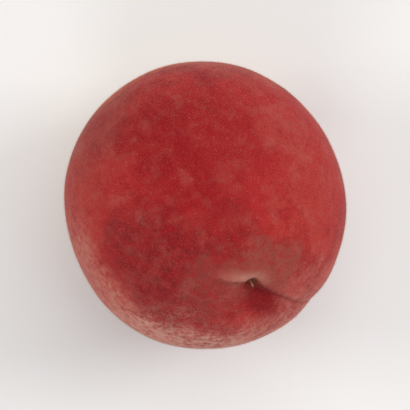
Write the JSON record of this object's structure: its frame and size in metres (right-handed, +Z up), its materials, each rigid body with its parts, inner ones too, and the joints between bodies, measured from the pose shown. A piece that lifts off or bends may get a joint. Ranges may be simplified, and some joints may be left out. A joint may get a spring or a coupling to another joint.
{
  "type": "peach",
  "caption": "Ripe round peach with a seam down one side, a dimpled blossom end and a hollow at the stem end, lying at rest on its side.",
  "frame": {"origin": "middle of the fruit's footprint, on the surface that it rests on", "axes": "+Z up from the surface. The blossom end points up, towards +X and -Y, 38.5 degrees from +Z. The stem hollow faces down, towards -X and +Y. The seam runs down the +X side."},
  "size_m": [0.0672, 0.0686, 0.0675],
  "materials": {
    "peach_skin": "soft fuzzy skin, crimson blush over yellow"
  },
  "bodies": {
    "root": {"peach": "peach_skin"}
  },
  "joints": []
}
